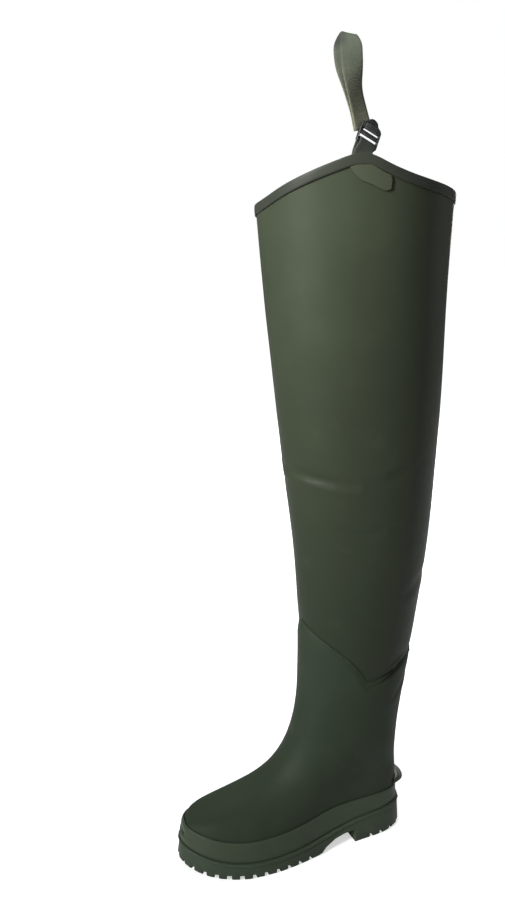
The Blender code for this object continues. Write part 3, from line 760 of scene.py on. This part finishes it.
@dataclass
class Webbing:
    """A webbing node's form with a UV map in metres: U is the place along Y, V the height."""

    node: str
    finish: WebbingFinish = WebbingFinish()
    pinch: float = 0.0
    pinch_height: float = 16.0 * MM

    def build(self) -> bpy.types.Object:
        """Make the piece and let it stand for its node.

        Returns:
            The finished piece.
        """
        piece = Form(self.node, self.finish, edge_hold=0.5).build()
        mesh = piece.data
        self.pinch_top(mesh)
        layer = mesh.uv_layers.get("UVMap") or mesh.uv_layers.new(name="UVMap")
        for loop in mesh.loops:
            point = mesh.vertices[loop.vertex_index].co
            layer.data[loop.index].uv = (point.y, point.z)
        return piece

    def pinch_top(self, mesh: bpy.types.Mesh) -> None:
        """Draw the loop's top in towards its middle, which rounds its two corners.

        Args:
            mesh: The mesh to shape.
        """
        if not self.pinch:
            return
        low = max(vertex.co.z for vertex in mesh.vertices) - self.pinch_height
        held = [vertex for vertex in mesh.vertices if vertex.co.z > low]
        middle = sum((vertex.co for vertex in held), Vector()) / len(held)
        for vertex in held:
            share = (vertex.co.z - low) / self.pinch_height
            keep = 1.0 - self.pinch * share * share
            vertex.co.x = middle.x + (vertex.co.x - middle.x) * keep
            vertex.co.y = middle.y + (vertex.co.y - middle.y) * keep


@dataclass
class Buckle:
    """Ladder-lock buckle: the CAD plate with rounded edges, a ribbed grip and a thicker bar."""

    node: str = "ladder_buckle"
    edge_radius: float = 0.6 * MM
    grip_edge_radius: float = 0.3 * MM
    rounded_degrees: float = 30.0
    shaded_degrees: float = 40.0
    plate_half: float = 1.8 * MM
    finish: NylonFinish = NylonFinish()
    grip_width: float = 18.0 * MM
    grip_height: float = 5.6 * MM
    grip_proud: float = 2.2 * MM
    grip_up: float = 16.9 * MM
    grip_ribs: int = 3
    rib_share: float = 0.78
    bar_up: float = 10.1 * MM
    bar_height: float = 3.8 * MM
    bar_width: float = 23.0 * MM
    bar_share: float = 1.8
    # A lighter copy of the black nylon: painted highlight for the light that the grip ribs and
    # bar catch.
    grip_painted_highlight_finish: NylonFinish = NylonFinish(
        "grip_nylon_painted_highlight_finish", colour=(0.026, 0.028, 0.027, 1.0), worn=(0.050, 0.054, 0.051, 1.0),
    )

    def build(self) -> bpy.types.Object:
        """Make the piece and let it stand for its node.

        Returns:
            The finished piece.
        """
        builder = flat_node(self.node)
        plate = self.plate_axes(builder)
        sharp = math.radians(self.rounded_degrees)
        edges = [edge for edge in builder.edges if edge.calc_face_angle(0.0) > sharp]
        round_edges(builder, edges, self.edge_radius, segments=3)
        mesh = mesh_from(builder, f"{self.node}_form")
        mesh.shade_smooth()
        mesh.set_sharp_from_angle(angle=math.radians(self.shaded_degrees))
        mesh.materials.append(self.finish.build())
        piece = bpy.data.objects.new(mesh.name, mesh)
        bpy.context.scene.collection.objects.link(piece)
        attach(piece, "root")
        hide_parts(self.node)
        log.info("%s: %d faces", piece.name, len(mesh.polygons))
        self.build_grip(plate)
        return piece

    def plate_axes(self, builder: bmesh.types.BMesh) -> tuple[Vector, Vector, Vector, Vector]:
        """Foot middle, across, rise and outward direction of the plate, from its own edges.

        Args:
            builder: The plate's merged mesh, whose two longest edges are its lower ones.

        Returns:
            The foot's middle and three directions of length one.
        """
        longest = sorted(builder.edges, key=lambda edge: -edge.calc_length())[:2]
        foot = sum((v.co for edge in longest for v in edge.verts), Vector()) / 4
        across = (longest[0].verts[1].co - longest[0].verts[0].co).normalized()
        centre = sum((vertex.co for vertex in builder.verts), Vector()) / len(builder.verts)
        rise = centre - foot
        rise = (rise - across * rise.dot(across)).normalized()
        out = across.cross(rise).normalized()
        if out.x < 0:
            out.negate()
        return foot, across, rise, out

    def build_grip(self, plate: tuple[Vector, Vector, Vector, Vector]) -> bpy.types.Object:
        """Make the ribbed grip block above the slots and the thicker bar between them.

        Args:
            plate: The plate's foot middle, across, rise and outward directions.

        Returns:
            The finished piece.
        """
        foot, across, rise, out = plate
        turn = Matrix((across, rise, out)).transposed().to_4x4()
        builder = bmesh.new()
        rib = self.grip_height / self.grip_ribs
        for index in range(self.grip_ribs):
            up = self.grip_up + (index - (self.grip_ribs - 1) / 2) * rib
            centre = foot + rise * up + out * (self.plate_half + 0.5 * self.grip_proud)
            scale = Matrix.Diagonal((self.grip_width, rib * self.rib_share, self.grip_proud, 1.0))
            matrix = Matrix.Translation(centre) @ turn @ scale
            bmesh.ops.create_cube(builder, size=1.0, matrix=matrix)
        bar_depth = self.bar_share * self.plate_half
        scale = Matrix.Diagonal((self.bar_width, self.bar_height, bar_depth, 1.0))
        centre = foot + rise * self.bar_up
        bmesh.ops.create_cube(builder, size=1.0, matrix=Matrix.Translation(centre) @ turn @ scale)
        bmesh.ops.recalc_face_normals(builder, faces=builder.faces)
        round_edges(builder, list(builder.edges), self.grip_edge_radius, segments=2)
        mesh = mesh_from(builder, "buckle_grip")
        mesh.shade_smooth()
        mesh.set_sharp_from_angle(angle=math.radians(self.shaded_degrees))
        mesh.materials.append(self.grip_painted_highlight_finish.build())
        grip = bpy.data.objects.new("buckle_grip", mesh)
        bpy.context.scene.collection.objects.link(grip)
        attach(grip, "root")
        log.info("%s: %d faces", grip.name, len(mesh.polygons))
        return grip


HANGER_FINISH = WebbingFinish(
    "hanger_webbing_finish", light=(0.030, 0.035, 0.026, 1.0), dark=(0.014, 0.018, 0.013, 1.0),
)

LEG_AXIS = ((0.11, -0.048), (0.17, -0.036), (0.24, -0.030), (0.31, -0.025), (0.40, -0.023),
            (0.50, -0.028), (0.60, -0.033), (0.72, -0.041), (0.88, -0.047))

LEG_CREASES = (
    Crease(((124, 503), (146, 509), (168, 514), (192, 517)), 5.5, 2.4, -1.5),
    Crease(((100, 444), (118, 441), (142, 450)), 6.0, 1.5, 1.1),
    Crease(((72, 520), (96, 506), (118, 510)), 7.0, 1.2, 0.9),
    Crease(((196, 500), (222, 492), (250, 497)), 8.0, 1.2, 0.8),
    Crease(((104, 322), (128, 326), (152, 338)), 6.5, 1.3, 0.9),
    Crease(((60, 352), (36, 366), (12, 372)), 8.0, 0.9, 0.5),
    Crease(((150, 700), (120, 690), (96, 694)), 14.0, 0.7, 0.4),
)

BOOT_CREASES = (
    Crease(((30, 256), (48, 252), (64, 243), (80, 233), (104, 230)), 3.4, 2.8, 2.2),
    Crease(((48, 206), (34, 218), (20, 232)), 6.0, 0.9, 0.6),
    Crease(((300, 206), (316, 218), (332, 236), (346, 254)), 4.5, 1.8, 1.2),
    Crease(((120, 150), (100, 136), (80, 120)), 7.0, 0.9, 0.6),
    Crease(((250, 152), (270, 136), (288, 122)), 6.0, 1.3, 0.9),
    Crease(((165, 158), (180, 152), (195, 158)), 7.0, 1.0, 0.6),
)

WALL_UNEVENNESS = 0.6


@dataclass
class MouldedBoot:
    """Upper, foxing band, kick spur, back seam and foot board."""

    rubber: RubberFinish = RubberFinish(
        "boot_rubber_finish", "olive_rubber", (0.025, 0.033, 0.021, 1.0),
        (0.017, 0.024, 0.015, 1.0), roughness=0.56, gloss=0.06,
    )
    band_rubber: RubberFinish = RubberFinish(
        "band_rubber_finish", "sole_rubber", (0.038, 0.050, 0.032, 1.0),
        (0.028, 0.038, 0.024, 1.0), roughness=0.46,
    )

    def build(self) -> None:
        """Make the pieces."""
        Form(
            "boot_upper", self.rubber, creases=BOOT_CREASES, unevenness=WALL_UNEVENNESS,
            axis_reach=LEG_AXIS, feather=2.35 * MM, smoothed_ahead_of=-80 * MM,
            smoothed_above=68 * MM,
        ).build()
        Form("foxing", self.band_rubber, sharp_degrees=28, edge_hold=0.35).build()
        Form("kick_spur", self.band_rubber, sharp_degrees=30, edge_hold=0.9).build()
        Form("back_seam", self.rubber, edge_hold=0.7).build()
        Form("insole", FeltFinish(), edge_hold=0.8).build()


@dataclass
class ThighLeg:
    """Thin coated leg with its bound rim and its two patches.

    The leg carries the boot's creases too, so that both walls fold alike at the join.
    """

    # The coating carries painted shade that darkens it towards the floor.
    coating: RubberFinish = RubberFinish(
        "leg_coating_finish", "leg_coating", (0.030, 0.037, 0.022, 1.0),
        (0.022, 0.028, 0.017, 1.0), gloss=0.09, cloth_print=True, painted_shade_full_height=0.26,
        painted_shade_start_height=0.80,
    )
    patch: RubberFinish = RubberFinish(
        "patch_finish", "binding_rubber", (0.041, 0.048, 0.030, 1.0),
        (0.031, 0.038, 0.024, 1.0),
    )
    tape: RubberFinish = RubberFinish(
        "binding_finish", "binding_rubber", (0.027, 0.031, 0.023, 1.0),
        (0.018, 0.021, 0.016, 1.0),
    )

    def build(self) -> None:
        """Make the pieces."""
        Form(
            "thigh_leg", self.coating, creases=LEG_CREASES + BOOT_CREASES,
            unevenness=WALL_UNEVENNESS, axis_reach=LEG_AXIS,
        ).build()
        Form("collar_binding", self.tape, sharp_degrees=60).build()
        for patch in ("outer_patch", "inner_patch"):
            Form(patch, self.patch, Smoothing.FINEST, edge_hold=0.8).build()


@dataclass
class Studio:
    """Plain pale floor, soft lights and the camera at the photo's angle.

    The floor and the world look paler to the camera than the light they give to the part.
    """

    camera_place: Place = (0.890, -0.556, 0.778)
    yaw_degrees: float = 66.76
    pitch_degrees: float = 13.71
    lens_mm: float = 34.0
    sensor_mm: float = 36.0
    clip_start: float = 0.01
    floor_size: float = 40.0
    floor_colour: Colour = (0.62, 0.62, 0.62, 1.0)
    floor_roughness: float = 0.9
    floor_gloss: float = 0.1
    floor_glow: Colour = (0.16, 0.16, 0.16, 1.0)
    seen_glow: Colour = (0.56, 0.57, 0.56, 1.0)
    white_from: float = 0.7
    white_past: float = 2.6
    ambient: float = 0.14

    def build(self) -> None:
        """Make floor, world, lights and camera."""
        self.floor()
        self.world()
        self.light(
            "key", (0.84, -2.25, 1.70), (0.36, 1.3), 27.0, aim_height=1.05, spread_degrees=60.0,
        )
        self.light("fill", (2.5, 0.5, 0.7), (1.2, 0.8), 5.0, aim_height=0.1)
        self.light("rim", (0.2, 2.4, 1.2), (0.5, 1.8), 5.0)
        self.light("top", (0.0, -0.2, 3.2), (2.4, 2.4), 8.0)
        self.light("back", (-2.0, 1.2, 1.4), (1.6, 1.6), 80.0)
        self.camera()

    def floor(self) -> None:
        """Make the floor, with a paler glow that only camera rays see."""
        builder = bmesh.new()
        bmesh.ops.create_grid(builder, x_segments=1, y_segments=1, size=0.5 * self.floor_size)
        mesh = mesh_from(builder, "floor")
        tree = Tree("floor_finish")
        tree.give("Base Color", self.floor_colour)
        place = tree.object_place()
        away = tree.add("ShaderNodeVectorMath", {"operation": "LENGTH"}, {0: place}, "Value")
        far = tree.ramp(away, self.white_from, self.white_past)
        seen = tree.add("ShaderNodeLightPath", {}, {}, "Is Camera Ray")
        backdrop = tree.mix(far, self.seen_glow, WHITE)
        tree.give("Emission Color", tree.mix(seen, self.floor_glow, backdrop))
        tree.give("Emission Strength", 1.0)
        tree.give("Roughness", self.floor_roughness)
        tree.give("Specular IOR Level", self.floor_gloss)
        mesh.materials.append(tree.material)
        floor = bpy.data.objects.new("floor", mesh)
        bpy.context.scene.collection.objects.link(floor)

    def world(self) -> None:
        """Light the surroundings evenly and dimly, with a white backdrop behind the part."""
        world = bpy.data.worlds.new("studio")
        world.use_nodes = True
        nodes, links = world.node_tree.nodes, world.node_tree.links
        dim = nodes["Background"]
        dim.inputs["Color"].default_value = WHITE
        dim.inputs["Strength"].default_value = self.ambient
        white = nodes.new("ShaderNodeBackground")
        white.inputs["Color"].default_value = WHITE
        white.inputs["Strength"].default_value = 1.0
        chosen = nodes.new("ShaderNodeMixShader")
        links.new(nodes.new("ShaderNodeLightPath").outputs["Is Camera Ray"], chosen.inputs["Fac"])
        links.new(dim.outputs["Background"], chosen.inputs[1])
        links.new(white.outputs["Background"], chosen.inputs[2])
        links.new(chosen.outputs["Shader"], nodes["World Output"].inputs["Surface"])
        bpy.context.scene.world = world
        bpy.context.scene.view_settings.view_transform = "Standard"

    def light(
        self, name: str, place: Place, size: tuple[float, float], power: float,
        aim_height: float = 0.5, spread_degrees: float = 180.0,
    ) -> None:
        """Make an area light that faces a spot on the leg's middle line.

        Args:
            name: The light's name.
            place: Where it stands.
            size: Its width and height in metres.
            power: Its power in watts.
            aim_height: Height of the spot on the leg that it faces.
            spread_degrees: Full angle over which its light fans out.
        """
        lamp = bpy.data.lights.new(name, "AREA")
        lamp.shape = "RECTANGLE"
        lamp.size, lamp.size_y = size
        lamp.energy = power
        lamp.spread = math.radians(spread_degrees)
        piece = bpy.data.objects.new(name, lamp)
        piece.location = place
        towards = Vector((0.0, LEG_MIDDLE_Y, aim_height)) - Vector(place)
        piece.rotation_euler = towards.to_track_quat("-Z", "Y").to_euler()
        bpy.context.scene.collection.objects.link(piece)

    def camera(self) -> None:
        """Make the camera at the photo's angle and set it as the scene's."""
        data = bpy.data.cameras.new("camera")
        data.lens = self.lens_mm
        data.sensor_width = self.sensor_mm
        data.clip_start = self.clip_start
        camera = bpy.data.objects.new("camera", data)
        camera.location = self.camera_place
        camera.rotation_euler = (
            math.radians(90.0 - self.pitch_degrees), 0.0, math.radians(self.yaw_degrees),
        )
        bpy.context.scene.collection.objects.link(camera)
        bpy.context.scene.camera = camera


def main() -> None:
    """Build the wader's looks in order."""
    logging.basicConfig(level=logging.INFO)
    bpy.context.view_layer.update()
    Outsole().build()
    MouldedBoot().build()
    ThighLeg().build()
    Webbing("hanger_tab", HANGER_FINISH).build()
    Buckle().build()
    Webbing("belt_strap", pinch=0.42).build()
    Studio().build()


if __name__ == "__main__":
    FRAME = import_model()
    main()
